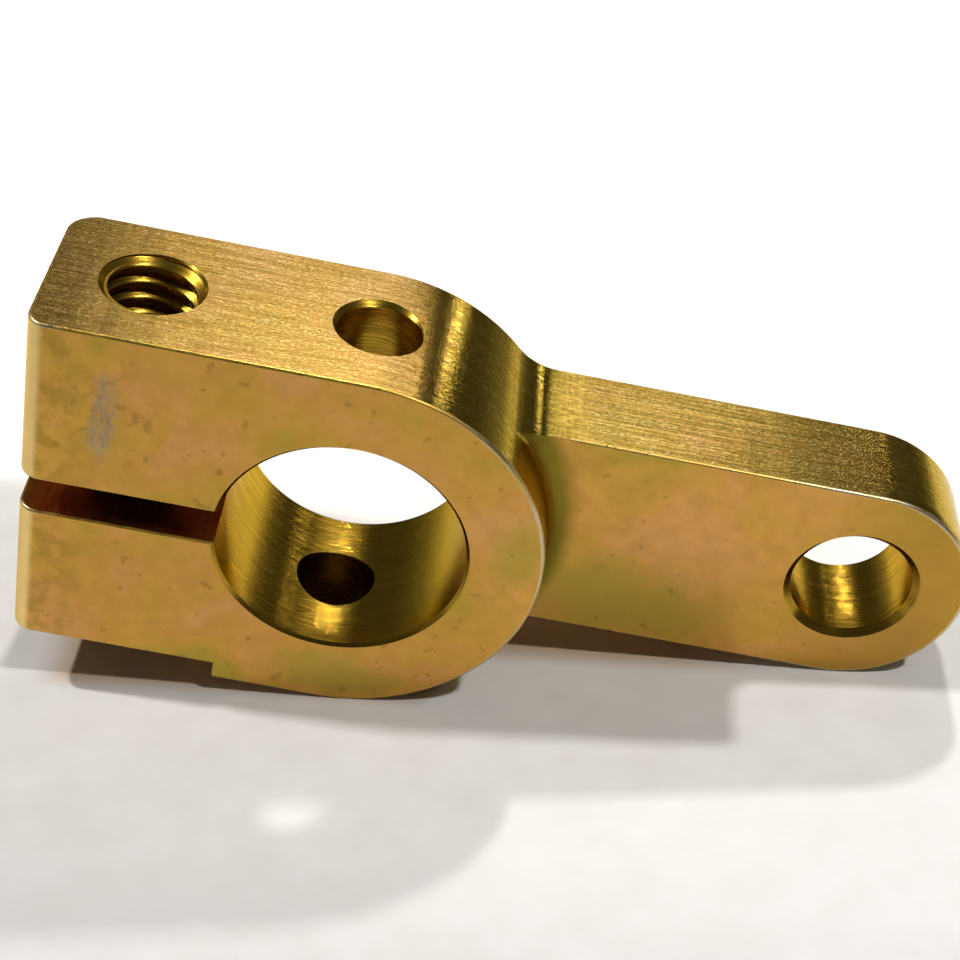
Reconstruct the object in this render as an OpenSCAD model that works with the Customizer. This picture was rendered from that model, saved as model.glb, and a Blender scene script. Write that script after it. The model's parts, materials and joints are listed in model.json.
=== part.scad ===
// Split-clamp lever: a round-nosed clamp head that grips a shaft, a flat arm with
// an eye, and the screw and lock washer that pinch the head's slit shut.
// X runs along the arm, Y along the shaft bore, Z up through the flat top of the head.
// The origin is the centre of the shaft bore, halfway through the head.

/* [Clamp head] */
// Diameter of the shaft bore
bore_d = 19.05; // [16:0.05:21]
// Diameter of the round nose, which is also the height of the head
head_d = 30.8; // [30:0.1:34]
// Thickness of the head along the bore
head_t = 15.2; // [15:0.1:20]
// Distance from the bore centre to the flat left end
head_reach = 24.3; // [23.5:0.1:27]
// Width of the slit that splits the two jaws
slit_w = 3; // [2:0.1:4]
// Depth of the milled relief under the lower jaw
relief_depth = 1.5; // [0.5:0.1:2]
// Distance from the bore centre to the step at the end of the relief
relief_step = 8.3; // [7:0.1:10]
// Radius of the left end's front corner, seen from above
front_corner_r = 1.6; // [0.5:0.1:2.5]
// Radius of the left end's back corner, seen from above
back_corner_r = 2.4; // [0.5:0.1:3]
// Edge break at both ends of the shaft bore
bore_break = 0.25; // [0.1:0.05:0.5]

/* [Arm] */
// Distance from the shaft bore to the eye
arm_len = 40; // [34:0.5:60]
// Thickness of the arm, whose back face is flush with the head's
arm_t = 8.9; // [7:0.1:10]
// Height of the arm, which is also the diameter of its round end
arm_h = 18.2; // [16:0.1:19]
// Height of the arm's centre line above the shaft bore's centre
arm_rise = 0.45; // [0:0.05:0.6]
// Diameter of the eye
eye_d = 9.525; // [6:0.025:12]
// Chamfer at both ends of the eye
eye_chamfer = 0.55; // [0.2:0.05:1]
// Radius in the corners where the arm's edges meet the round nose
neck_r = 5; // [2:0.5:6]
// Radius in the corner where the nose stands on the arm's front face
foot_r = 2; // [1:0.1:2.5]

/* [Cross hole] */
// Diameter of the plain hole through the head, over the bore centre
cross_d = 6.35; // [4:0.05:8]
// Chamfer at the hole's mouth on the flat top
cross_chamfer = 0.4; // [0.1:0.05:0.8]

/* [Pinch screw] */
// Major diameter of the thread, a 5/16-18
thread_d = 7.94; // [7.9:0.01:8]
// Distance from the shaft bore to the screw
screw_reach = 16.75; // [16.5:0.05:17]
// Length of the screw under its head
screw_len = 15.875; // [15:0.125:16]
// Diameter of the screw's low head
screw_head_d = 11.1; // [10.5:0.1:11.5]
// Height of the screw's head
screw_head_h = 3.96; // [3.5:0.02:4]
// Width across the flats of the hexagon socket
socket_af = 4.76; // [4:0.02:5]
// Depth of the hexagon socket
socket_depth = 2.4; // [2:0.1:2.6]
// Diameter of the clearance hole in the lower jaw
clearance_d = 8.7; // [8.6:0.1:9]
// Diameter of the counterbore that hides the head
counterbore_d = 12.3; // [12:0.1:12.6]
// Depth of the counterbore under the relieved jaw
counterbore_depth = 8; // [7.5:0.1:8.2]

/* [Lock washer] */
// Outer diameter of the washer
washer_od = 11.7; // [11.5:0.1:11.9]
// Inner diameter of the washer
washer_id = 8.2; // [8.1:0.1:8.5]
// Thickness of the washer under load
washer_t = 2.4; // [2:0.1:2.4]
// Width of the washer's split
washer_gap = 0.8; // [0.4:0.1:1.2]

/* [Hidden] */
$fn = 96;
EPS = 1;
head_r = head_d / 2;
front_y = -head_t / 2;
back_y = head_t / 2;
arm_front_y = back_y - arm_t;
arm_top = arm_rise + arm_h / 2;
arm_bottom = arm_rise - arm_h / 2;
jaw_bottom = relief_depth - head_r;
seat_z = jaw_bottom + counterbore_depth;
// Radial play between the screw and its tapped hole
thread_play = 0.04;
screw_d = thread_d - 2 * thread_play;
screw_seat_z = seat_z - washer_t;
// Chamfers on the screw's tip and on the rim of its head
tip_chamfer = 0.7;
head_chamfer = 0.35;
// Slant of the washer's split
split_slant = 35;
zinc = [0.72, 0.55, 0.24];
black_oxide = [0.09, 0.09, 0.1];

// A prism along Y, from y0 to y1, of an outline drawn in the X-Z plane
module along_y(y0, y1) {
    translate([0, y1, 0]) rotate([90, 0, 0]) linear_extrude(y1 - y0) children();
}

// A hole along Y with equal chamfers at both faces
module chamfered_hole(d, chamfer, y0, y1) {
    along_y(y0 - EPS, y1 + EPS) circle(d = d);
    translate([0, y0, 0]) rotate([-90, 0, 0])
        translate([0, 0, -EPS])
            cylinder(h = chamfer + EPS, r1 = d / 2 + chamfer + EPS, r2 = d / 2);
    translate([0, y1, 0]) rotate([90, 0, 0])
        translate([0, 0, -EPS])
            cylinder(h = chamfer + EPS, r1 = d / 2 + chamfer + EPS, r2 = d / 2);
}

// Countersink that opens a vertical hole's mouth at height z
module mouth_chamfer(x, z, d, chamfer) {
    translate([x, 0, z - chamfer])
        cylinder(h = chamfer + EPS, r1 = d / 2, r2 = d / 2 + chamfer + EPS);
}

// The head seen along the bore: a square block that ends in a round nose
module head_outline() {
    circle(r = head_r);
    translate([-head_reach, -head_r]) square([head_reach, head_d]);
}

// The left end seen from above, with its two rounded corners
module head_plan() {
    translate([front_corner_r - head_reach, front_y + front_corner_r]) circle(r = front_corner_r);
    translate([back_corner_r - head_reach, back_y - back_corner_r]) circle(r = back_corner_r);
    translate([front_corner_r - head_reach, front_y])
        square([head_reach + head_d, head_t / 2]);
    translate([back_corner_r - head_reach, 0])
        square([head_reach + head_d, head_t / 2]);
    translate([-head_reach, front_y + front_corner_r])
        square([head_d, head_t - front_corner_r - back_corner_r]);
}

module head() {
    intersection() {
        along_y(front_y, back_y) head_outline();
        translate([0, 0, -head_d]) linear_extrude(2 * head_d) head_plan();
    }
}

// The corner between the round nose and one edge of the arm, at height edge_z
module neck_corner(edge_z) {
    up = edge_z > 0 ? 1 : -1;
    centre_z = edge_z + up * neck_r;
    centre_x = sqrt((head_r + neck_r) ^ 2 - centre_z ^ 2);
    contact = head_r / (head_r + neck_r);
    difference() {
        polygon([
            [centre_x * contact, centre_z * contact],
            [centre_x, edge_z],
            [centre_x, 0],
            [0, 0]
        ]);
        translate([centre_x, centre_z]) circle(r = neck_r);
    }
}

// The arm seen along the bore, with its round end and its blended neck
module arm_outline() {
    translate([0, arm_bottom]) square([arm_len, arm_h]);
    translate([arm_len, arm_rise]) circle(d = arm_h);
    neck_corner(arm_top);
    neck_corner(arm_bottom);
}

// The ring of metal that blends the nose into the arm's front face
module nose_foot() {
    intersection() {
        translate([0, arm_front_y, 0]) rotate([90, 0, 0]) rotate_extrude() difference() {
            translate([head_r - EPS, -EPS]) square([foot_r + EPS, foot_r + EPS]);
            translate([head_r + foot_r, foot_r]) circle(r = foot_r);
        }
        along_y(arm_front_y - foot_r, arm_front_y + EPS) arm_outline();
    }
}

module lever_blank() {
    head();
    along_y(arm_front_y, back_y) arm_outline();
    nose_foot();
}

// The slit, from the left end into the bore
module slit() {
    translate([-head_reach - EPS, front_y - EPS, -slit_w / 2])
        cube([head_reach + EPS, head_t + 2 * EPS, slit_w]);
}

// The milled relief under the lower jaw
module relief() {
    translate([-head_reach - EPS, front_y - EPS, -head_r - EPS])
        cube([head_reach + EPS - relief_step, head_t + 2 * EPS, relief_depth + EPS]);
}

// The pinch screw's way: counterbore, clearance hole and tapped hole
module screw_way() {
    translate([-screw_reach, 0, jaw_bottom - EPS])
        cylinder(h = counterbore_depth + EPS, d = counterbore_d);
    translate([-screw_reach, 0, seat_z - EPS]) cylinder(h = EPS - seat_z, d = clearance_d);
    translate([-screw_reach, 0, 0]) cylinder(h = head_r + EPS, d = thread_d);
}

// The plain hole across the bore, through the top and the bottom of the head
module cross_hole() {
    translate([0, 0, -head_r - EPS]) cylinder(h = head_d + 2 * EPS, d = cross_d);
    mouth_chamfer(0, head_r, cross_d, cross_chamfer);
}

// The one-piece lever
module lever_body() {
    color(zinc) difference() {
        lever_blank();
        chamfered_hole(bore_d, bore_break, front_y, back_y);
        translate([arm_len, 0, arm_rise])
            chamfered_hole(eye_d, eye_chamfer, arm_front_y, back_y);
        slit();
        relief();
        screw_way();
        cross_hole();
    }
}

// The low-headed socket screw, which enters from below
module pinch_screw() {
    color(black_oxide) translate([-screw_reach, 0, screw_seat_z]) difference() {
        union() {
            cylinder(h = screw_len - tip_chamfer, d = screw_d);
            translate([0, 0, screw_len - tip_chamfer])
                cylinder(h = tip_chamfer, d1 = screw_d, d2 = screw_d - 2 * tip_chamfer);
            translate([0, 0, head_chamfer - screw_head_h])
                cylinder(h = screw_head_h - head_chamfer, d = screw_head_d);
            translate([0, 0, -screw_head_h])
                cylinder(h = head_chamfer, d1 = screw_head_d - 2 * head_chamfer, d2 = screw_head_d);
        }
        translate([0, 0, -screw_head_h - EPS])
            cylinder(h = socket_depth + EPS, d = socket_af / cos(30), $fn = 6);
    }
}

// The high-collar split washer between the screw's head and its seat
module lock_washer() {
    color(black_oxide) translate([-screw_reach, 0, screw_seat_z]) difference() {
        cylinder(h = washer_t, d = washer_od);
        translate([0, 0, -EPS]) cylinder(h = washer_t + 2 * EPS, d = washer_id);
        translate([0, 0, washer_t / 2]) rotate([0, split_slant, 0])
            translate([-washer_gap / 2, -washer_od, -2 * washer_t])
                cube([washer_gap, washer_od, 4 * washer_t]);
    }
}

lever_body();
pinch_screw();
lock_washer();
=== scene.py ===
"""A split-clamp lever of yellow-chromate plated steel, lying on pale paper under soft studio light.

Lengths in this script are millimetres, as in the CAD source, and MM turns them into metres.
X runs along the arm, Y along the shaft bore, and Z up through the head's flat top.
"""
import json
import math

import bmesh
import bpy
from mathutils import Matrix, Vector


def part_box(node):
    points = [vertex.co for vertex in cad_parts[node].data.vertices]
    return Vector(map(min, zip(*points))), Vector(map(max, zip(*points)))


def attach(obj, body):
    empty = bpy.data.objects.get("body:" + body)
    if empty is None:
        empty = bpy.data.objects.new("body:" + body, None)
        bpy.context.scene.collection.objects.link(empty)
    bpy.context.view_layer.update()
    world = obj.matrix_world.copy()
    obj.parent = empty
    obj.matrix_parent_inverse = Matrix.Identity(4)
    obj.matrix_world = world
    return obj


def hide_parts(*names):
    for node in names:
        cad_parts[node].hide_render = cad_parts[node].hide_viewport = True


MM = 0.001

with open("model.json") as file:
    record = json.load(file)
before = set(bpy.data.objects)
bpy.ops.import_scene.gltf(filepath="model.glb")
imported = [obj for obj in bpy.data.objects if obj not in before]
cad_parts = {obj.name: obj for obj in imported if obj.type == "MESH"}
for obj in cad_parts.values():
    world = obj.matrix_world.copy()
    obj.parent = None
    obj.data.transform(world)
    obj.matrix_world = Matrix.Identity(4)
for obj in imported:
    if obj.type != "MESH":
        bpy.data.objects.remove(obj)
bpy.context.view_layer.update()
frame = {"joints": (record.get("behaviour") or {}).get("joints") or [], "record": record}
mounts = {m["name"]: m for m in frame["record"]["mounts"]}
joints = {j["name"]: j for j in frame["joints"]}

# ---------------------------------------------------------------- sizes, from the frame where it has them
lever_low, lever_high = [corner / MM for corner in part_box("lever_body")]
screw_low, screw_high = [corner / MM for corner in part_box("pinch_screw")]
washer_low, washer_high = [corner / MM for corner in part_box("lock_washer")]
HEAD_R = lever_high.z
HEAD_REACH = -lever_low.x
FRONT_Y = lever_low.y
BACK_Y = lever_high.y
BORE_R = mounts["shaft_bore"]["dims"]["r_mm"]
CROSS_R = mounts["cross_pin_hole"]["dims"]["r_mm"]
EYE_R = mounts["arm_eye"]["dims"]["r_mm"]
EYE_X = mounts["arm_eye"]["pos_m"][0] / MM
EYE_Z = mounts["arm_eye"]["pos_m"][2] / MM
ARM_R = lever_high.x - EYE_X
ARM_TOP = EYE_Z + ARM_R
ARM_BOTTOM = EYE_Z - ARM_R
SCREW_X = joints["screw_turn"]["pos_m"][0] / MM
SEAT_Z = washer_high.z
WASHER_R = (washer_high.x - washer_low.x) / 2
WASHER_T = washer_high.z - washer_low.z
SCREW_SEAT_Z = washer_low.z
SCREW_HEAD_R = (screw_high.x - screw_low.x) / 2
SCREW_BOTTOM = screw_low.z
SCREW_TIP = screw_high.z

# ---------------------------------------------------------------- sizes that the frame doesn't hold
ARM_FRONT_Y = BACK_Y - 8.9
SLIT_W = 3.0
JAW_BOTTOM = 1.5 - HEAD_R
RELIEF_STEP = 8.3
FRONT_CORNER_R = 1.6
BACK_CORNER_R = 2.4
NECK_R = 5.0
FOOT_R = 2.0
BORE_BREAK = 0.25
EYE_CHAMFER = 0.55
CROSS_CHAMFER = 0.4
TAP_SINK = 0.45         # countersink at the tapped hole's mouth
CLEARANCE_R = 4.35
COUNTERBORE_R = 6.15
THREAD_R = 3.97         # the tapped hole's major radius
CREST_R = 3.3           # the tapped hole's radius at its crests
PITCH = 25.4 / 18
THREAD_PLAY = 0.05      # radial play between the screw's thread and the tapped hole's
SOCKET_AF = 4.76
SOCKET_DEPTH = 2.4
TIP_CHAMFER = 0.7
KNURL_TEETH = 60
KNURL_DEPTH = 0.16
WASHER_HOLE_R = 4.1
WASHER_GAP = 0.8
WASHER_CORNER_R = 0.25
WASHER_SLANT = math.radians(35)
EDGE_BREAK = 0.2        # rounding of the sharp edges
NECK_END = 14.6         # where the arm's edges run straight
RIM_BREAK = 0.32        # rounding of the nose's and the arm end's worn front rims
LONG_EDGE = 1.0 * MM    # longer edges are divided, so that their rounding can fade along them
PAST = 2.0              # how far a cutter runs past the metal
FAR = 60.0              # a reach past everything
ARC_STEP = math.radians(2)
ROUND = 96              # segments of a small round hole
FINE_ROUND = 180        # segments of the bore and the eye
SLIVER = 0.002          # keeps a cutter's end off the line where the nose and a neck meet
WELD = 1e-8             # points nearer than this, in metres, are one point

# The lever's material slots
SLOTS = SATIN, WORN, MILLED, BORED, DRILLED, SAWN = range(6)


# ---------------------------------------------------------------- mesh helpers
def add_mesh(name, points, faces):
    """A closed mesh from points in millimetres, with its faces turned outwards."""
    mesh = bpy.data.meshes.new(name)
    mesh.from_pydata([Vector(p) * MM for p in points], [], faces)
    bm = bmesh.new()
    bm.from_mesh(mesh)
    bmesh.ops.remove_doubles(bm, verts=bm.verts, dist=WELD)
    bmesh.ops.recalc_face_normals(bm, faces=bm.faces)
    bm.to_mesh(mesh)
    bm.free()
    built = bpy.data.objects.new(name, mesh)
    bpy.context.scene.collection.objects.link(built)
    return built


def arc(cx, cy, radius, start, end):
    """Points along an arc, both ends included. The angles are in degrees."""
    a, b = math.radians(start), math.radians(end)
    steps = max(2, round(abs(b - a) / ARC_STEP))
    return [(cx + radius * math.cos(a + (b - a) * i / steps),
             cy + radius * math.sin(a + (b - a) * i / steps)) for i in range(steps + 1)]


def prism(name, outline, axis, low, high):
    """A prism along "Y" or "Z" of an outline in the other two axes."""
    n = len(outline)
    points = [(a, h, b) if axis == "Y" else (a, b, h) for h in (low, high) for a, b in outline]
    sides = [(i, (i + 1) % n, n + (i + 1) % n, n + i) for i in range(n)]
    return add_mesh(name, points, [tuple(range(n)), tuple(range(n, 2 * n))] + sides)


def block(name, low, high):
    """A box between two opposite corners."""
    outline = [(low[0], low[1]), (high[0], low[1]), (high[0], high[1]), (low[0], high[1])]
    return prism(name, outline, "Z", low[2], high[2])


def turned(name, profile, axis, centre, segments=FINE_ROUND):
    """A solid turned about axis "Y" or "Z" through centre. The profile is (radius, height) pairs,
    and its first and last radius is 0."""
    points, faces, rings = [], [], []
    for radius, height in profile:
        ring = []
        for i in range(segments if radius > 0 else 1):
            a = 2 * math.pi * i / segments
            across, up = radius * math.cos(a), radius * math.sin(a)
            offset = (across, height, up) if axis == "Y" else (across, up, height)
            ring.append(len(points))
            points.append(Vector(centre) + Vector(offset))
        rings.append(ring)
    for low, high in zip(rings, rings[1:]):
        for i in range(segments):
            j = (i + 1) % segments
            corners = [low[i % len(low)], low[j % len(low)], high[j % len(high)], high[i % len(high)]]
            face = list(dict.fromkeys(corners))
            if len(face) > 2:
                faces.append(face)
    return add_mesh(name, points, faces)


def swept(name, sections):
    """A solid through a list of sections that have the same number of points."""
    n = len(sections[0])
    points = [p for section in sections for p in section]
    faces = [tuple(range(n)), tuple(range(len(points) - n, len(points)))]
    for k in range(len(sections) - 1):
        for i in range(n):
            j = (i + 1) % n
            faces.append((k * n + i, k * n + j, (k + 1) * n + j, (k + 1) * n + i))
    return add_mesh(name, points, faces)


def apply_modifiers(target):
    """Makes the modifiers' result the object's own mesh."""
    bpy.context.view_layer.update()
    evaluated = target.evaluated_get(bpy.context.evaluated_depsgraph_get())
    made = bpy.data.meshes.new_from_object(evaluated)
    old = target.data
    target.modifiers.clear()
    target.data = made
    bpy.data.meshes.remove(old)


def combine(target, other, operation):
    """Applies a boolean to target and removes the other object."""
    modifier = target.modifiers.new("combine", "BOOLEAN")
    modifier.operation = operation
    modifier.solver = "MANIFOLD"
    modifier.object = other
    apply_modifiers(target)
    bpy.data.objects.remove(other)


def ramp01(value, low, high):
    """0 up to low, 1 from high on, and a smooth rise between."""
    t = min(1, max(0, (value - low) / (high - low)))
    return t * t * (3 - 2 * t)


def paint(piece, slot):
    """Gives a piece's faces one material slot. A cutter leaves its slot on the faces that it cuts."""
    for polygon in piece.data.polygons:
        polygon.material_index = slot
    return piece


def break_edges(body, width_at, segments=3):
    """Rounds the sharp edges, by the width in millimetres that width_at gives at a place."""
    bm = bmesh.new()
    bm.from_mesh(body.data)
    bmesh.ops.dissolve_limit(bm, angle_limit=math.radians(0.1), verts=bm.verts, edges=bm.edges,
                             delimit={"MATERIAL"})
    for edge in bm.edges[:]:
        vert, pieces = edge.verts[0], round(edge.calc_length() / LONG_EDGE)
        for i in range(pieces, 1, -1):
            edge, vert = bmesh.utils.edge_split(edge, vert, 1 / i)
            edge = next(e for e in vert.link_edges if e is not edge)
    weights = bm.edges.layers.float.new("bevel_weight_edge")
    for edge in bm.edges:
        if len(edge.link_faces) == 2:
            sharp = ramp01(math.degrees(edge.calc_face_angle()), 25, 70)
            middle = (edge.verts[0].co + edge.verts[1].co) / 2 / MM
            edge[weights] = sharp * width_at(middle)
    bm.to_mesh(body.data)
    bm.free()
    bevel = body.modifiers.new("edges", "BEVEL")
    bevel.limit_method = "WEIGHT"
    bevel.width = 1.0 * MM
    bevel.segments = segments
    bevel.use_clamp_overlap = False
    bevel.material = WORN
    apply_modifiers(body)


def split_faces(body, planes):
    """Splits faces along planes, so that each hole bites into the corners of faces and lies inside none."""
    bm = bmesh.new()
    bm.from_mesh(body.data)
    for point, normal in planes:
        everything = bm.verts[:] + bm.edges[:] + bm.faces[:]
        bmesh.ops.bisect_plane(bm, geom=everything, dist=WELD, plane_co=Vector(point) * MM, plane_no=normal)
    bm.to_mesh(body.data)
    bm.free()


def finish_normals(piece, angle=32):
    """Smooth shading that keeps flat faces flat."""
    piece.data.shade_smooth()
    piece.data.set_sharp_from_angle(angle=math.radians(angle))
    weighted = piece.modifiers.new("normals", "WEIGHTED_NORMAL")
    weighted.keep_sharp = True
    apply_modifiers(piece)


def thread_radius(phase, root_r, crest_r):
    """A 60 degree thread's radius at a phase of its pitch, 0 at the middle of the larger radius."""
    away = abs((phase + 0.5) % 1 - 0.5)
    return root_r + (crest_r - root_r) * min(1, max(0, (away - 0.08) / 0.30))


def thread(name, x, z_low, turns, larger_r, smaller_r, around=60, across=14):
    """A right-hand thread's helical surface about a vertical axis, closed at both ends."""
    points, faces = [], []
    for k in range(turns * around + 1):
        a = 2 * math.pi * k / around
        for j in range(across + 1):
            radius = thread_radius(j / across, larger_r, smaller_r)
            z = z_low + PITCH * (k / around + j / across)
            points.append((x + radius * math.cos(a), radius * math.sin(a), z))
    row = across + 1
    for k in range(turns * around):
        for j in range(across):
            faces.append((k * row + j, (k + 1) * row + j, (k + 1) * row + j + 1, k * row + j + 1))
    last = turns * around
    low_edge = [k * row for k in range(around)] + [around * row] + [j for j in range(across, 0, -1)]
    high_edge = ([k * row + across for k in range(last - around, last + 1)]
                 + [last * row + j for j in range(across - 1, -1, -1)])
    for edge, z in ((low_edge, z_low), (high_edge, z_low + PITCH * (turns + 1))):
        points.append((x, 0, z))
        hub = len(points) - 1
        for a, b in zip(edge, edge[1:] + edge[:1]):
            faces.append((a, b, hub))
    return add_mesh(name, points, faces)


# ---------------------------------------------------------------- the lever
def neck(edge_z):
    """The arc that blends the nose into an edge of the arm, from the nose outwards."""
    up = math.copysign(1, edge_z)
    centre_z = edge_z + up * NECK_R
    centre_x = math.sqrt((HEAD_R + NECK_R) ** 2 - centre_z ** 2)
    towards_nose = math.degrees(math.atan2(-centre_z, -centre_x))
    return arc(centre_x, centre_z, NECK_R, towards_nose, -90 * up)


def neck_angle(edge_z):
    """Where round the nose that arc begins, in degrees."""
    x, z = neck(edge_z)[0]
    return math.degrees(math.atan2(z, x))


def lever_outline():
    """The whole lever seen along the bore, anticlockwise from its lower left corner."""
    left = -HEAD_REACH - PAST
    lower_nose = arc(0, 0, HEAD_R, -90, neck_angle(ARM_BOTTOM))[:-1]
    upper_nose = arc(0, 0, HEAD_R, neck_angle(ARM_TOP), 90)[1:]
    arm = neck(ARM_BOTTOM) + arc(EYE_X, EYE_Z, ARM_R, -90, 90) + neck(ARM_TOP)[::-1]
    return [(left, -HEAD_R)] + lower_nose + arm + upper_nose + [(left, HEAD_R)]


def lever_plan():
    """The lever seen from above, with the left end's two rounded corners."""
    front = arc(FRONT_CORNER_R - HEAD_REACH, FRONT_Y + FRONT_CORNER_R, FRONT_CORNER_R, 180, 270)
    back = arc(BACK_CORNER_R - HEAD_REACH, BACK_Y - BACK_CORNER_R, BACK_CORNER_R, 90, 180)
    return front + [(FAR, FRONT_Y), (FAR, BACK_Y)] + back


def arm_relief():
    """The space in front of the arm and round the nose, with the foot's rounding."""
    foot_steps = 14
    foot = [(HEAD_R + FOOT_R * (1 - math.sin(t)), ARM_FRONT_Y - FOOT_R * (1 - math.cos(t)))
            for t in [math.pi / 2 * (1 - i / foot_steps) for i in range(foot_steps + 1)]]
    profile = [(HEAD_R, FRONT_Y - PAST)] + foot + [(FAR, ARM_FRONT_Y), (FAR, FRONT_Y - PAST)]
    low, high = neck_angle(ARM_BOTTOM), neck_angle(ARM_TOP)
    steps = round(math.radians(high - low) / ARC_STEP)
    stations = [(low + (high - low) * i / steps, SLIVER if i in (0, steps) else 0)
                for i in range(steps + 1)]
    run_on, stand_off = 4, 0.6      # degrees past each neck, and millimetres off the nose there
    stations = [(low - run_on, stand_off)] + stations + [(high + run_on, stand_off)]
    sections = []
    for degrees, clear in stations:
        a = math.radians(degrees)
        sections.append([((r + clear) * math.cos(a), y, (r + clear) * math.sin(a)) for r, y in profile])
    return swept("arm_relief", sections)


def chamfered_hole(name, radius, chamfer, y0, y1, centre):
    """A cutter along Y for a hole with a chamfer at both faces, y0 and y1."""
    wide = radius + chamfer + PAST
    profile = [(0, y0 - PAST), (wide, y0 - PAST), (radius, y0 + chamfer),
               (radius, y1 - chamfer), (wide, y1 + PAST), (0, y1 + PAST)]
    return turned(name, profile, "Y", centre)


def lever_break(place):
    """How wide an outer edge is broken: most round the front rims of the nose and the arm's end."""
    x, y, z = place
    near = 0.1
    if abs(z) < SLIT_W and x > -BORE_R + 1 and math.hypot(x, z) < BORE_R:
        return 0    # the slit's end, which the bore takes away
    if y < FRONT_Y + near:
        return EDGE_BREAK + (RIM_BREAK - EDGE_BREAK) * ramp01(x, 4, 12)
    if 0 < x < NECK_END + 3 and y < ARM_FRONT_Y + near:
        return EDGE_BREAK * ramp01(x, NECK_END, NECK_END + 2.5)     # none where the foot is
    return EDGE_BREAK + (RIM_BREAK - EDGE_BREAK) * ramp01(x, EYE_X, EYE_X + 5)


def build_lever():
    """The one-piece lever: block, outline, relief and slit, then broken edges, and then the holes."""
    body = prism("lever", lever_plan(), "Z", -HEAD_R - PAST, HEAD_R + PAST)
    for polygon in body.data.polygons:
        polygon.material_index = SATIN if abs(polygon.normal.y) > 0.02 else MILLED
    outline = prism("outline", lever_outline(), "Y", FRONT_Y - PAST, BACK_Y + PAST)
    combine(body, paint(outline, MILLED), "INTERSECT")
    relief = arm_relief()
    for polygon in relief.data.polygons:
        polygon.material_index = SATIN if abs(polygon.normal.y) > 0.3 else MILLED
    far = HEAD_REACH + PAST
    slit = block("slit", (-far, FRONT_Y - PAST, -SLIT_W / 2), (0, BACK_Y + PAST, SLIT_W / 2))
    underside = block("underside", (-far, FRONT_Y - PAST, -HEAD_R - PAST),
                      (-RELIEF_STEP, BACK_Y + PAST, JAW_BOTTOM))
    for cutter in (relief, paint(slit, SAWN), paint(underside, MILLED)):
        combine(body, cutter, "DIFFERENCE")
    for _ in SLOTS:
        body.data.materials.append(None)    # dress() fills these
    break_edges(body, lever_break)
    across, level = (1, 0, 0), (0, 0, 1)
    split_faces(body, [((0, 0, 0), across), ((EYE_X, 0, 0), across), ((SCREW_X, 0, 0), across),
                       ((0, 0, 0), level), ((0, 0, EYE_Z), level), ((0, 0, 0), (0, 1, 0))])

    holes = [
        (chamfered_hole("bore", BORE_R, BORE_BREAK, FRONT_Y, BACK_Y, (0, 0, 0)), BORED),
        (chamfered_hole("eye", EYE_R, EYE_CHAMFER, ARM_FRONT_Y, BACK_Y, (EYE_X, 0, EYE_Z)), BORED),
        (turned("cross", [(0, -HEAD_R - PAST), (CROSS_R, -HEAD_R - PAST), (CROSS_R, HEAD_R - CROSS_CHAMFER),
                          (CROSS_R + CROSS_CHAMFER + PAST, HEAD_R + PAST), (0, HEAD_R + PAST)],
                "Z", (0, 0, 0), ROUND), DRILLED),
        (turned("way", [(0, JAW_BOTTOM - PAST), (COUNTERBORE_R, JAW_BOTTOM - PAST),
                        (COUNTERBORE_R, SEAT_Z), (CLEARANCE_R, SEAT_Z), (CLEARANCE_R, 0), (0, 0)],
                "Z", (SCREW_X, 0, 0), ROUND), DRILLED),
        (turned("sink", [(0, HEAD_R - TAP_SINK), (THREAD_R - TAP_SINK, HEAD_R - TAP_SINK),
                         (THREAD_R + PAST, HEAD_R + PAST), (0, HEAD_R + PAST)],
                "Z", (SCREW_X, 0, 0), ROUND), DRILLED),
        (thread("tap", SCREW_X, -PITCH / 2, math.ceil(HEAD_R / PITCH) + 1, THREAD_R, CREST_R), DRILLED),
    ]
    for hole, slot in holes:
        combine(body, paint(hole, slot), "DIFFERENCE")
    return body


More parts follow.
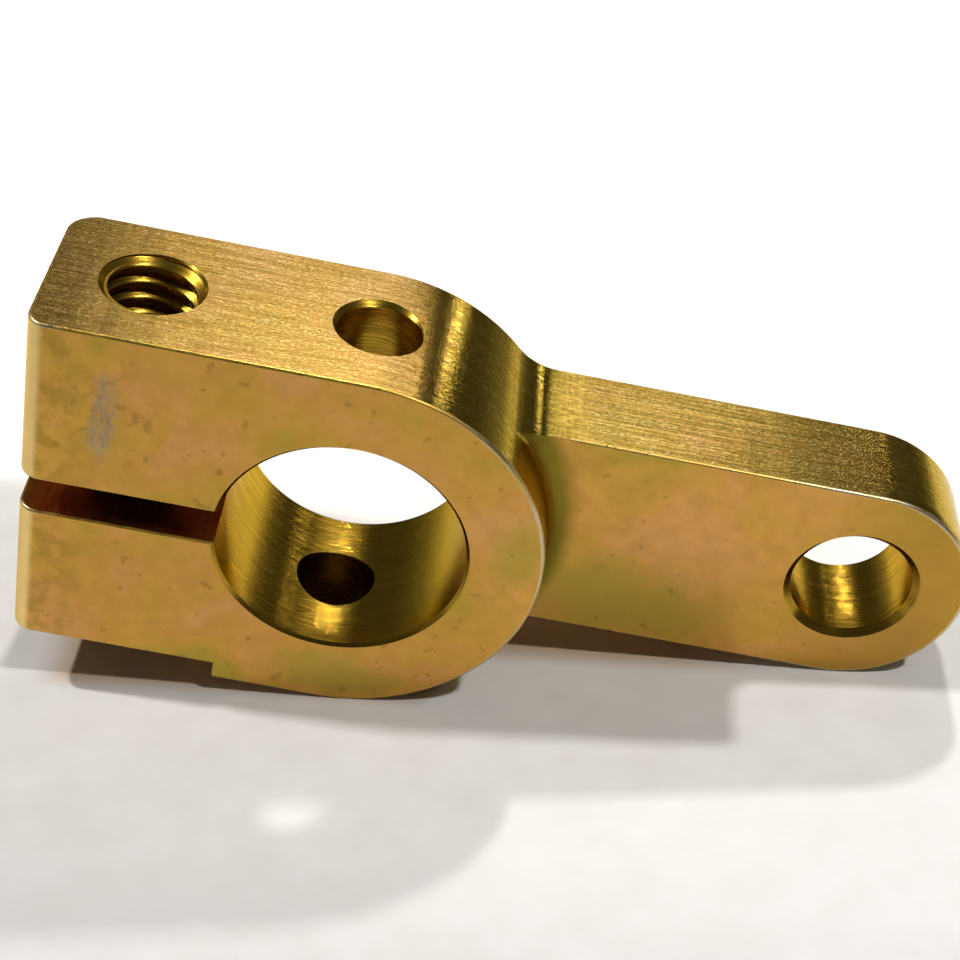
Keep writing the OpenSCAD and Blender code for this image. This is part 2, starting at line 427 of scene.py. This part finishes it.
# ---------------------------------------------------------------- the pinch screw and its lock washer
def build_screw():
    """The socket screw: rolled thread, chamfered tip, knurled low head and hexagon socket."""
    outer, inner = THREAD_R - THREAD_PLAY, CREST_R - THREAD_PLAY
    turns = math.ceil((SCREW_TIP - SCREW_SEAT_Z) / PITCH)
    start = -PITCH / 2 - PITCH * round(-SCREW_SEAT_Z / PITCH) - PITCH       # in step with the tapped hole
    screw = thread("pinch_screw_piece", SCREW_X, start, turns + 1, outer, inner)
    clear = 0.2
    sunk = SCREW_SEAT_Z - clear         # the shank starts a little inside the head
    envelope = [(0, sunk), (outer + clear, sunk), (outer + clear, SCREW_TIP - TIP_CHAMFER - clear),
                (inner - 0.1, SCREW_TIP), (0, SCREW_TIP)]
    combine(screw, turned("envelope", envelope, "Z", (SCREW_X, 0, 0), ROUND), "INTERSECT")
    paint(screw, 0)
    combine(screw, paint(knurled_head(), 0), "UNION")
    corner = SOCKET_AF / math.sqrt(3)
    hexagon = [(SCREW_X + corner * math.cos(math.radians(60 * i)), corner * math.sin(math.radians(60 * i)))
               for i in range(6)]
    socket = prism("socket", hexagon, "Z", SCREW_BOTTOM - PAST, SCREW_BOTTOM + SOCKET_DEPTH)
    combine(screw, socket, "DIFFERENCE")
    mouth_z = SCREW_BOTTOM + 0.45       # how deep the socket's chamfer reaches
    mouth = [(0, SCREW_BOTTOM - PAST), (corner + 0.1 + PAST, SCREW_BOTTOM - PAST),
             (corner - 0.35, mouth_z), (0, mouth_z)]
    combine(screw, turned("mouth", mouth, "Z", (SCREW_X, 0, 0), ROUND), "DIFFERENCE")
    drill_r, floor_z = SOCKET_AF / 2 - 0.1, SCREW_BOTTOM + SOCKET_DEPTH      # the cone at the socket's end
    drill = [(0, SCREW_BOTTOM + 1), (drill_r, SCREW_BOTTOM + 1),
             (drill_r, floor_z + 0.02), (0, floor_z + 0.7)]
    combine(screw, turned("drill", drill, "Z", (SCREW_X, 0, 0), ROUND), "DIFFERENCE")
    return screw


def knurled_head():
    """The low head, with a straight knurl round its side and a chamfer at both ends. The profile's
    heights are above the screw's bottom."""
    height = SCREW_SEAT_Z - SCREW_BOTTOM
    profile = [(0, 0), (SCREW_HEAD_R - 0.75, 0), (SCREW_HEAD_R - 0.35, 0.35), (SCREW_HEAD_R, 0.62),
               (SCREW_HEAD_R, 3.3), (SCREW_HEAD_R - 0.25, height), (0, height)]
    raised = [(radius, SCREW_BOTTOM + h) for radius, h in profile]
    head = turned("head", raised, "Z", (SCREW_X, 0, 0), KNURL_TEETH * 4)
    for vertex in head.data.vertices:
        x, y, z = vertex.co / MM
        radius, a = math.hypot(x - SCREW_X, y), math.atan2(y, x - SCREW_X)
        if radius > SCREW_HEAD_R - 0.1:
            radius -= KNURL_DEPTH * (0.5 - 0.5 * math.cos(KNURL_TEETH * a))
            vertex.co = Vector((SCREW_X + radius * math.cos(a), radius * math.sin(a), z)) * MM
    return head


def build_washer():
    """The split washer, squeezed flat, with slanted ends and rounded corners."""
    r = WASHER_CORNER_R
    middle_z = SCREW_SEAT_Z + WASHER_T / 2
    inner, outer, top = WASHER_HOLE_R + r, WASHER_R - r, WASHER_T / 2 - r
    corners = ((outer, top), (inner, top), (inner, -top), (outer, -top))
    section = [point for i, (x, z) in enumerate(corners)
               for point in arc(x, z, r, 90 * i, 90 * i + 90)[::9]]
    half_gap = WASHER_GAP / 2 / WASHER_R
    sections, steps = [], 120
    for i in range(steps + 1):
        share = i / steps
        ring = []
        for radius, height in section:
            slant = height * math.tan(WASHER_SLANT) / WASHER_R
            a = -math.pi / 2 + half_gap + (2 * math.pi - 2 * half_gap) * share + slant
            ring.append((SCREW_X + radius * math.cos(a), radius * math.sin(a), middle_z + height))
        sections.append(ring)
    return swept("lock_washer_piece", sections)


# ---------------------------------------------------------------- finishes
class Finish:
    """One procedural material. Its patterns are placed in millimetres in the part's own frame."""

    def __init__(self, name, metallic=1.0, tint=None):
        self.material = bpy.data.materials.new(name)
        self.material.use_nodes = True
        self.tree = self.material.node_tree
        self.shader = self.tree.nodes["Principled BSDF"]
        self.shader.inputs["Metallic"].default_value = metallic
        if tint:
            self.shader.inputs["Specular Tint"].default_value = tint
        coordinates = self.add("TexCoord").outputs["Object"]
        self.place = self.add("VectorMath", {0: coordinates, "Scale": 1 / MM}, operation="SCALE").outputs[0]
        self.relief = None

    def add(self, kind, inputs=None, **settings):
        """A shader node. Its inputs are numbers, colours or other nodes' outputs."""
        made = self.tree.nodes.new("ShaderNode" + kind)
        for name, value in settings.items():
            setattr(made, name, value)
        for key, value in (inputs or {}).items():
            if isinstance(value, bpy.types.NodeSocket):
                self.tree.links.new(value, made.inputs[key])
            else:
                made.inputs[key].default_value = value
        return made

    def noise(self, size, detail=3, stretch=(1, 1, 1), shift=0, roughness=0.55, distortion=0):
        """Noise whose blobs are about size millimetres, drawn out by stretch along X, Y and Z."""
        scale = tuple(1 / (size * s) for s in stretch)
        place = (shift, shift * 2, shift * 3)
        placed = self.add("Mapping", {"Vector": self.place, "Scale": scale, "Location": place})
        return self.add("TexNoise", {"Vector": placed.outputs[0], "Scale": 1.0, "Detail": detail,
                                     "Roughness": roughness, "Distortion": distortion}).outputs["Fac"]

    def ramp(self, value, stops):
        """Colours along a value: stops are (position, colour)."""
        made = self.add("ValToRGB", {"Fac": value})
        elements = made.color_ramp.elements
        while len(elements) < len(stops):
            elements.new(0.5)
        for element, (position, colour) in zip(elements, stops):
            element.position = position
            element.color = with_alpha(colour)
        return made.outputs["Color"]

    def mix(self, factor, a, b, blend="MIX"):
        """Colour a where factor is 0, b where it is 1."""
        inputs = {0: factor, 6: with_alpha(a), 7: with_alpha(b)}
        return self.add("Mix", inputs, data_type="RGBA", blend_type=blend).outputs[2]

    def dim(self, colour, amount):
        """A colour times a number."""
        grey = self.add("CombineXYZ", {0: amount, 1: amount, 2: amount}).outputs[0]
        return self.mix(1.0, colour, grey, "MULTIPLY")

    def maths(self, operation, a, b, clamp=False):
        """Two numbers combined by an operation of the Math node."""
        return self.add("Math", {0: a, 1: b}, operation=operation, use_clamp=clamp).outputs[0]

    def times(self, a, b):
        """Two numbers multiplied."""
        return self.maths("MULTIPLY", a, b)

    def spread(self, value, low, high, to_low=0.0, to_high=1.0):
        """to_low up to low, to_high from high on, and a smooth change between."""
        return self.add("MapRange", {0: value, 1: low, 2: high, 3: to_low, 4: to_high},
                        interpolation_type="SMOOTHSTEP").outputs[0]

    def blotch(self, centre, reach, shift=0):
        """A patch with a ragged edge: 1 at its centre, 0 outside its reach along X, Y and Z."""
        away = self.add("VectorMath", {0: self.place, 1: centre}, operation="SUBTRACT").outputs[0]
        away = self.add("VectorMath", {0: away, 1: reach}, operation="DIVIDE").outputs[0]
        away = self.add("VectorMath", {0: away}, operation="LENGTH").outputs["Value"]
        ragged = self.maths("ADD", away, self.times(self.noise(2.2, 4, shift=shift), 0.9))
        return self.spread(ragged, 1.35, 0.75)      # the noise adds about 0.45 on average

    def painted_foot_shade(self):
        """Painted shade: 1 in the corner where the nose stands on the arm, 0 a few millimetres out from it.
        """
        flat = self.add("VectorMath", {0: self.place, 1: (1, 0, 1)}, operation="MULTIPLY").outputs[0]
        radius = self.add("VectorMath", {0: flat}, operation="LENGTH").outputs["Value"]
        beside = self.spread(radius, HEAD_R + FOOT_R + 0.7, HEAD_R + 1.0, 0, 0.85)
        y = self.axis("Y")
        near = self.times(self.spread(y, ARM_FRONT_Y - 3.5, ARM_FRONT_Y - 2),
                          self.spread(y, ARM_FRONT_Y + 2, ARM_FRONT_Y + 1))
        return self.times(beside, near)

    def axis(self, name):
        """The place along "X", "Y" or "Z", in millimetres."""
        return self.add("SeparateXYZ", {0: self.place}).outputs[name]

    def bump(self, height, depth):
        """Adds relief: depth is in millimetres from a height of 0 to a height of 1."""
        if isinstance(depth, bpy.types.NodeSocket):
            depth = self.times(depth, MM)
        else:
            depth = depth * MM
        inputs = {"Height": height, "Distance": depth, "Strength": 1.0}
        if self.relief:
            inputs["Normal"] = self.relief
        self.relief = self.add("Bump", inputs).outputs[0]

    def done(self, colour, roughness):
        """Connects the colour, the roughness and the relief, and gives the material."""
        self.tree.links.new(colour, self.shader.inputs["Base Color"])
        self.tree.links.new(roughness, self.shader.inputs["Roughness"])
        if self.relief:
            self.tree.links.new(self.relief, self.shader.inputs["Normal"])
        return self.material


def with_alpha(colour):
    """A colour that a socket takes. Another node's output stays what it is."""
    return (*colour, 1) if isinstance(colour, tuple) else colour


OLIVE = (0.44, 0.325, 0.048)
GOLD = (0.59, 0.345, 0.062)
TAN = (0.63, 0.335, 0.075)
SALMON = (0.66, 0.345, 0.105)
BRASS = (0.56, 0.38, 0.065)
ROSE = (0.68, 0.37, 0.13)
DEEP = (0.27, 0.165, 0.018)
PAINTED_ARM_END_SHADE = (0.42, 0.245, 0.040)
BROWN = (0.22, 0.10, 0.03)
PAINTED_CORNER_HIGHLIGHT = (0.78, 0.60, 0.26)
OLIVE_WITH_PAINTED_SHADE = (0.17, 0.15, 0.012)
PAINTED_DARK_REFLECTION = (0.20, 0.15, 0.010)
PAINTED_DARK_WALL = (0.20, 0.13, 0.012)
PAINTED_HOLE_SHADE = (0.10, 0.045, 0.008)
SMUDGE = (0.30, 0.21, 0.03)
SPECK = (0.28, 0.17, 0.04)
SCUFF = (0.40, 0.37, 0.34)
PAINTED_GLINT = (0.90, 0.67, 0.26)
BARE_ZINC = (0.58, 0.50, 0.36)
EDGE_TINT = (1.0, 0.85, 0.5, 1.0)


def plating_colour(finish, stops, shift=0):
    """The chromate film: slow drifts from colour to colour, and a fine mottle."""
    film = finish.ramp(finish.noise(8, 3, shift=shift, distortion=0.6), stops)
    mottle = finish.spread(finish.noise(1.2, 4, shift=shift + 3), 0.3, 0.7, 0.95, 1.04)
    return finish.dim(film, mottle)


TUMBLED = [(0.27, OLIVE), (0.40, GOLD), (0.52, TAN), (0.64, SALMON)]
HEAD_TOP = [(0.3, GOLD), (0.5, TAN), (0.7, ROSE)]
MACHINED = [(0.35, BRASS), (0.6, GOLD), (0.78, ROSE)]
WALL = [(0.3, (0.42, 0.26, 0.026)), (0.7, (0.52, 0.30, 0.035))]
PAINTED_RED_SLIT_SHADE = [(0.35, (0.30, 0.060, 0.006)), (0.6, (0.44, 0.14, 0.014))]
OXIDE = [(0.35, (0.018, 0.018, 0.021)), (0.6, (0.045, 0.042, 0.042)), (0.75, (0.09, 0.075, 0.065))]
PHOSPHATE = [(0.35, (0.05, 0.05, 0.055)), (0.55, (0.10, 0.10, 0.11)), (0.7, (0.20, 0.20, 0.21))]
PAPER = [(0.3, (0.80, 0.775, 0.74)), (0.7, (0.85, 0.83, 0.80))]
PAINTED_SHADOW_BROWN = (0.45, 0.26, 0.09)


def satin_finish():
    """The tumbled front and back faces: fine grain, olive stains, dark specks, smudges and a scuff, with
    painted shade in the foot's corner, a painted darker reflection towards the arm's end and a painted
    highlight on the left end's corner.
    """
    f = Finish("satin_zinc", tint=EDGE_TINT)
    colour = plating_colour(f, TUMBLED)
    green = f.maths("MAXIMUM", f.blotch((1, FRONT_Y, -12.6), (7, 3, 3.5), 1),
                    f.blotch((22, ARM_FRONT_Y, -5), (12, 3, 6), 2))
    green = f.maths("MAXIMUM", green, f.blotch((13, FRONT_Y, 3), (3, 3, 5), 4))
    colour = f.mix(f.times(green, 0.75), colour, OLIVE)
    # the olive film in the foot's corner, darkened there as painted shade
    colour = f.mix(f.painted_foot_shade(), colour, OLIVE_WITH_PAINTED_SHADE)
    # a painted darker reflection on the face towards the arm's end
    colour = f.mix(f.spread(f.axis("X"), 33, 46, 0, 0.8), colour, PAINTED_ARM_END_SHADE)
    smudge = f.times(f.spread(f.axis("X"), -17.5, -22), f.spread(f.noise(1.8, 4, shift=25), 0.44, 0.62))
    colour = f.mix(f.times(smudge, 0.5), colour, SMUDGE)
    specks = f.spread(f.noise(1.3, 2, shift=7), 0.64, 0.73)
    crowd = f.times(f.spread(f.noise(0.9, 2, shift=9), 0.58, 0.70),
                    f.blotch((-18, FRONT_Y, 8), (7, 4, 8), 5))
    colour = f.mix(f.times(f.maths("MAXIMUM", specks, crowd), 0.5), colour, SPECK)
    # a painted highlight on the rounded corner at the left end
    colour = f.mix(f.spread(f.axis("X"), -22.8, -23.4, 0, 0.8), colour, PAINTED_CORNER_HIGHLIGHT)
    scuff = f.times(f.blotch((-18.3, FRONT_Y, 8), (1.5, 3, 5.5), 6),
                    f.spread(f.noise(0.9, 5, stretch=(0.6, 1, 1.8), shift=21, distortion=1.2), 0.36, 0.58))
    colour = f.mix(f.times(scuff, 0.55), colour, SCUFF)
    rough = f.spread(f.noise(1.6, 4, shift=11), 0.3, 0.7, 0.36, 0.46)
    rough = f.maths("ADD", rough, f.times(scuff, 0.2))
    f.bump(f.noise(2.5, 3, shift=12), 0.008)
    f.bump(f.noise(0.16, 3, shift=13), 0.005)
    return f.done(colour, rough)


def milled_finish():
    """The milled edges. The cutter marks run along the flats, with painted glint specks and dull streaks,
    and across the nose, the neck and the arm's end. The nose and the arm's end carry a painted darker
    reflection."""
    f = Finish("milled_zinc", tint=EDGE_TINT)
    x = f.axis("X")
    round_part = f.maths("ADD", f.times(f.spread(x, 1, 4), f.spread(x, 18, 15)), f.spread(x, 39, 41))
    dashes = f.spread(f.noise(0.13, 3, stretch=(11, 1, 11), shift=1, roughness=0.65), 0.36, 0.64)
    lines = f.spread(f.noise(0.2, 4, stretch=(70, 1, 70), shift=6, roughness=0.75), 0.36, 0.64)
    grain = f.noise(0.2, 3, stretch=(1.6, 1, 1.6), shift=4, roughness=0.7)
    streaks = f.spread(f.noise(0.5, 4, stretch=(16, 1, 16), shift=31, roughness=0.65), 0.34, 0.66)
    across = f.spread(f.noise(0.3, 5, stretch=(1, 30, 1), shift=2, roughness=0.7), 0.3, 0.7)
    broken = f.spread(f.noise(0.42, 4, stretch=(3, 1, 3), shift=17, roughness=0.7), 0.38, 0.62)
    along = f.mix(f.spread(x, 0, 15, 0.35, 0.6), dashes, lines)
    marks = f.mix(round_part, along, f.mix(0.6, across, broken))
    film = f.mix(f.spread(x, 1, 5), plating_colour(f, HEAD_TOP, 5), plating_colour(f, MACHINED, 5))
    # a painted darker reflection on the nose and on the arm's round end
    nose = f.times(f.spread(x, 2.5, 7), f.spread(x, 15.5, 13.5))
    end = f.times(f.spread(x, 41, 43.5), f.spread(x, 48.5, 46.5))
    film = f.mix(f.times(f.maths("MAXIMUM", nose, end), 0.75), film, PAINTED_DARK_REFLECTION)
    deepest = f.spread(x, 0, 15, -0.2, 0.0)     # the deep colour shows less on the head
    colour = f.mix(f.spread(marks, deepest, 0.8), DEEP, film)
    dull = f.times(f.spread(streaks, 0.5, 0.0), f.spread(round_part, 0, 1, 0.42, 0))
    colour = f.mix(dull, colour, DEEP)
    # painted glint specks: bright colour that stands in for lamp light caught by the grain
    painted_glint_specks = f.times(f.spread(grain, 0.44, 0.64), f.spread(round_part, 0, 1, 0.78, 0.35))
    painted_glint_specks = f.times(painted_glint_specks, f.spread(streaks, 0.2, 0.9, 0.4, 1.0))
    colour = f.mix(painted_glint_specks, colour, PAINTED_GLINT)
    f.bump(marks, f.spread(round_part, 0, 1, 0.0028, 0.0045))
    f.bump(grain, f.spread(round_part, 0, 1, 0.0042, 0.0022))
    f.bump(f.noise(3, 2, stretch=(1, 6, 1), shift=8), f.spread(round_part, 0, 1, 0.03, 0.008))
    rough = f.spread(marks, 0.2, 0.8, 0.25, 0.16)
    return f.done(colour, f.maths("SUBTRACT", rough, f.times(round_part, 0.07)))


def bored_finish(name, stretch, roughness):
    """A hole's wall with fine tool rings, under a film with painted shade below the bore and a painted
    darker reflection on the bore's right wall. stretch is long across the hole's axis."""
    f = Finish(name, tint=EDGE_TINT)
    x = f.axis("X")
    rings = f.spread(f.noise(0.12, 4, stretch=stretch, shift=1, roughness=0.7), 0.3, 0.7)
    film = plating_colour(f, WALL, 8)
    # painted shade deep in the holes, below the bore
    below = f.spread(f.axis("Z"), -BORE_R - 1.5, -BORE_R + 1, 0.75, 0)
    film = f.mix(below, film, PAINTED_HOLE_SHADE)
    # a painted darker reflection on the bore's right wall
    right = f.times(f.spread(x, 4, 8), f.spread(x, 14, 12))
    film = f.mix(f.times(right, 0.8), film, PAINTED_DARK_WALL)
    colour = f.mix(f.spread(rings, 0.1, 0.9), DEEP, film)
    f.bump(rings, 0.005)
    f.bump(f.noise(1.5, 2, stretch=tuple(min(s, 4) for s in stretch), shift=3), 0.008)
    return f.done(colour, f.spread(rings, 0.2, 0.8, roughness + 0.08, roughness))


def sawn_finish():
    """The slit's walls: saw marks under a dark red colour, which is painted shade and painted red light
    bounced inside the slit.
    """
    f = Finish("sawn_zinc")
    marks = f.noise(0.25, 4, stretch=(1, 12, 1), shift=2, roughness=0.65)
    # the dark red colour is painted shade and painted red light bounced inside the slit
    colour = f.mix(f.spread(marks, 0.4, 0.6, 0.5, 0), f.ramp(f.noise(3, 3, shift=4), PAINTED_RED_SLIT_SHADE), BROWN)
    f.bump(marks, 0.03)
    return f.done(colour, f.spread(marks, 0.3, 0.7, 0.45, 0.3))


def worn_finish():
    """The broken edges, where the film has rubbed thin and the pale zinc shows."""
    f = Finish("worn_zinc", tint=EDGE_TINT)
    x = f.axis("X")
    bare = f.spread(f.noise(2.2, 4, shift=1), 0.32, 0.55, 0.25, 1.0)
    straight = f.times(f.spread(f.axis("Y"), FRONT_Y + 2, FRONT_Y + 4), f.spread(x, 38, 30))
    most = f.maths("ADD", f.spread(x, 3, 13, 0, 0.8), f.spread(x, -21, -23, 0, 0.6), clamp=True)
    bare = f.times(bare, f.times(most, f.spread(straight, 0, 1, 1.0, 0.15)))
    colour = f.mix(bare, plating_colour(f, MACHINED, 5), BARE_ZINC)
    f.bump(f.noise(0.3, 3, shift=3), 0.01)
    return f.done(colour, f.spread(f.noise(0.6, 3, shift=5), 0.3, 0.7, 0.26, 0.42))


def oxide_finish():
    """Black oxide: near black, oily, browner and brighter where it has rubbed."""
    f = Finish("black_oxide")
    cloud = f.noise(1.4, 4, shift=2)
    f.bump(f.noise(0.1, 3, stretch=(1, 1, 12), shift=4), 0.004)
    return f.done(f.ramp(cloud, OXIDE), f.spread(cloud, 0.3, 0.7, 0.30, 0.46))


def phosphate_finish():
    """Grey phosphate: matt and crystalline, in lighter and darker clouds."""
    f = Finish("phosphate", metallic=0.8)
    grain = f.noise(0.12, 4, shift=1, roughness=0.7)
    cloud = f.noise(1.8, 3, shift=2)
    colour = f.ramp(f.maths("ADD", f.times(grain, 0.4), f.times(cloud, 0.6)), PHOSPHATE)
    f.bump(grain, 0.008)
    return f.done(colour, f.spread(cloud, 0.3, 0.7, 0.62, 0.45))


def paper_finish():
    """Smooth white paper, see-through from below, with painted light: a painted falloff far out and towards
    the front, a painted brightness behind the part, and a painted brown shadow under the lever.
    """
    f = Finish("paper", metallic=0.0)
    x, y = f.axis("X"), f.axis("Y")
    away = f.add("VectorMath", {0: f.place}, operation="LENGTH").outputs["Value"]
    # painted falloff of light: the paper dims far out and towards the front
    painted_light_pool = f.times(f.spread(away, 170, 320, 1.0, 0.35), f.spread(y, -48, -20, 0.80, 1.0))
    tint = f.dim(f.ramp(f.noise(4, 4, shift=1), PAPER), painted_light_pool)
    # a painted brown shadow on the paper under the lever
    behind_front = f.maths("SUBTRACT", y, f.spread(x, 8, 13, FRONT_Y - 1.0, ARM_FRONT_Y - 1.5))
    under = f.times(f.spread(behind_front, 0, 2.5), f.spread(y, BACK_Y + 1, BACK_Y - 1))
    under = f.times(under, f.times(f.spread(x, -23, -19), f.spread(x, 40, 28)))
    tint = f.mix(f.times(under, 0.7), tint, PAINTED_SHADOW_BROWN)
    f.bump(f.noise(0.7, 4, shift=3), 0.02)
    # painted light: emission makes the paper brighter behind the part
    painted_backdrop_light = f.times(f.spread(y, 6, 45, 0.0, 0.35), painted_light_pool)
    f.tree.links.new(painted_backdrop_light, f.shader.inputs["Emission Strength"])
    f.shader.inputs["Emission Color"].default_value = (1, 1, 1, 1)
    f.shader.inputs["Specular IOR Level"].default_value = 0.25
    material = f.done(tint, f.spread(f.noise(3, 2), 0.3, 0.7, 0.75, 0.9))
    below = f.add("NewGeometry").outputs["Backfacing"]
    seen = f.add("MixShader", {0: below, 1: f.shader.outputs[0], 2: f.add("BsdfTransparent").outputs[0]})
    f.tree.links.new(seen.outputs[0], f.tree.nodes["Material Output"].inputs["Surface"])
    return material


def dress(piece, finishes):
    """Puts the finishes in the piece's material slots, in order."""
    slots = piece.data.materials
    for index, material in enumerate(finishes):
        if index < len(slots):
            slots[index] = material
        else:
            slots.append(material)


lever = build_lever()
finish_normals(lever)
dress(lever, [satin_finish(), worn_finish(), milled_finish(), bored_finish("bored_zinc", (60, 1, 60), 0.12),
              bored_finish("drilled_zinc", (40, 40, 1), 0.22), sawn_finish()])
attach(lever, "lever")
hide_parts("lever_body")

screw = build_screw()
finish_normals(screw)
dress(screw, [oxide_finish()])
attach(screw, "screw")
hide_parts("pinch_screw")

washer = build_washer()
finish_normals(washer, 50)
dress(washer, [phosphate_finish()])
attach(washer, "washer")
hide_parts("lock_washer")

# ---------------------------------------------------------------- camera
CAMERA_AIM = Vector((9.3, -4.0, 6.3)) * MM
CAMERA_DISTANCE = 140 * MM
CAMERA_AZIMUTH = -4.6
CAMERA_ELEVATION = 37.8
CAMERA_ROLL = 13.4
CAMERA_LENS = 70.4


def add_camera():
    """A camera that looks at CAMERA_AIM from the front and above. Its angles are in degrees."""
    azimuth, elevation = math.radians(CAMERA_AZIMUTH), math.radians(CAMERA_ELEVATION)
    back = Vector((math.sin(azimuth) * math.cos(elevation),
                   -math.cos(azimuth) * math.cos(elevation),
                   math.sin(elevation)))
    data = bpy.data.cameras.new("camera")
    data.lens = CAMERA_LENS
    data.clip_start = CAMERA_DISTANCE * 0.01
    data.clip_end = CAMERA_DISTANCE * 100
    camera = bpy.data.objects.new("camera", data)
    camera.location = CAMERA_AIM + back * CAMERA_DISTANCE
    level = (-back).to_track_quat("-Z", "Y").to_matrix()
    camera.rotation_euler = (level @ Matrix.Rotation(math.radians(CAMERA_ROLL), 3, "Z")).to_euler()
    bpy.context.scene.collection.objects.link(camera)
    bpy.context.scene.camera = camera


add_camera()

# ---------------------------------------------------------------- paper and light
FLOOR_SLOPE = math.radians(9.7)     # the lever lies tilted, on its nose and its arm's end
FLOOR_SPAN = 900
FLOOR_GAP = 0.02                    # between the nose and the paper
ROOM_BANDS = ((0.0, 0.34), (0.10, 0.30), (0.20, 0.11), (0.70, 0.08), (0.90, 0.05))     # height, brightness


def lay_paper():
    """The paper, which lies just under the nose."""
    up = Vector((-math.sin(FLOOR_SLOPE), 0, math.cos(FLOOR_SLOPE)))
    across = Vector((math.cos(FLOOR_SLOPE), 0, math.sin(FLOOR_SLOPE)))
    centre = -up * (HEAD_R + FLOOR_GAP)
    half = FLOOR_SPAN / 2
    corners = [centre + across * half * i + Vector((0, half * j, 0))
               for i, j in ((-1, -1), (1, -1), (1, 1), (-1, 1))]
    mesh = bpy.data.meshes.new("paper")
    mesh.from_pydata([c * MM for c in corners], [], [(0, 1, 2, 3)])
    paper = bpy.data.objects.new("paper", mesh)
    bpy.context.scene.collection.objects.link(paper)
    mesh.materials.append(paper_finish())


def add_panel(name, towards, distance, size, power, tall=None):
    """A white lamp that faces the part from the direction towards, in millimetres and watts."""
    data = bpy.data.lights.new(name, "AREA")
    data.shape = "RECTANGLE"
    data.size = size * MM
    data.size_y = (tall or size) * MM
    data.energy = power
    lamp = bpy.data.objects.new(name, data)
    lamp.location = Vector(towards).normalized() * distance * MM
    lamp.rotation_euler = Vector(towards).to_track_quat("Z", "Y").to_euler()
    bpy.context.scene.collection.objects.link(lamp)


def light_room():
    """A pale room: bright near the horizon and dimmer overhead."""
    room = bpy.data.worlds.new("room")
    bpy.context.scene.world = room
    room.use_nodes = True
    tree = room.node_tree
    direction = tree.nodes.new("ShaderNodeTexCoord").outputs["Generated"]
    height = tree.nodes.new("ShaderNodeSeparateXYZ")
    tree.links.new(direction, height.inputs[0])
    bands = tree.nodes.new("ShaderNodeValToRGB")
    tree.links.new(height.outputs["Z"], bands.inputs["Fac"])
    while len(bands.color_ramp.elements) < len(ROOM_BANDS):
        bands.color_ramp.elements.new(0.5)
    for element, (position, value) in zip(bands.color_ramp.elements, ROOM_BANDS):
        element.position = position
        element.color = (value, value, value * 0.97, 1)
    background = tree.nodes["Background"]
    tree.links.new(bands.outputs["Color"], background.inputs["Color"])
    background.inputs["Strength"].default_value = 1.0


lay_paper()
light_room()
add_panel("key", (-0.70, 0.06, 0.70), 500, 20, 1.35)
add_panel("top", (0.40, -0.26, 1.0), 420, 24, 0.75)
add_panel("back", (0.0, 0.57, 0.82), 420, 22, 0.7)
add_panel("window", (0.058, 0.80, 0.60), 400, 186, 0.053, tall=56)
add_panel("strip", (0.40, 0.826, 0.40), 400, 7, 0.014, tall=60)
bpy.context.scene.view_settings.view_transform = "Standard"
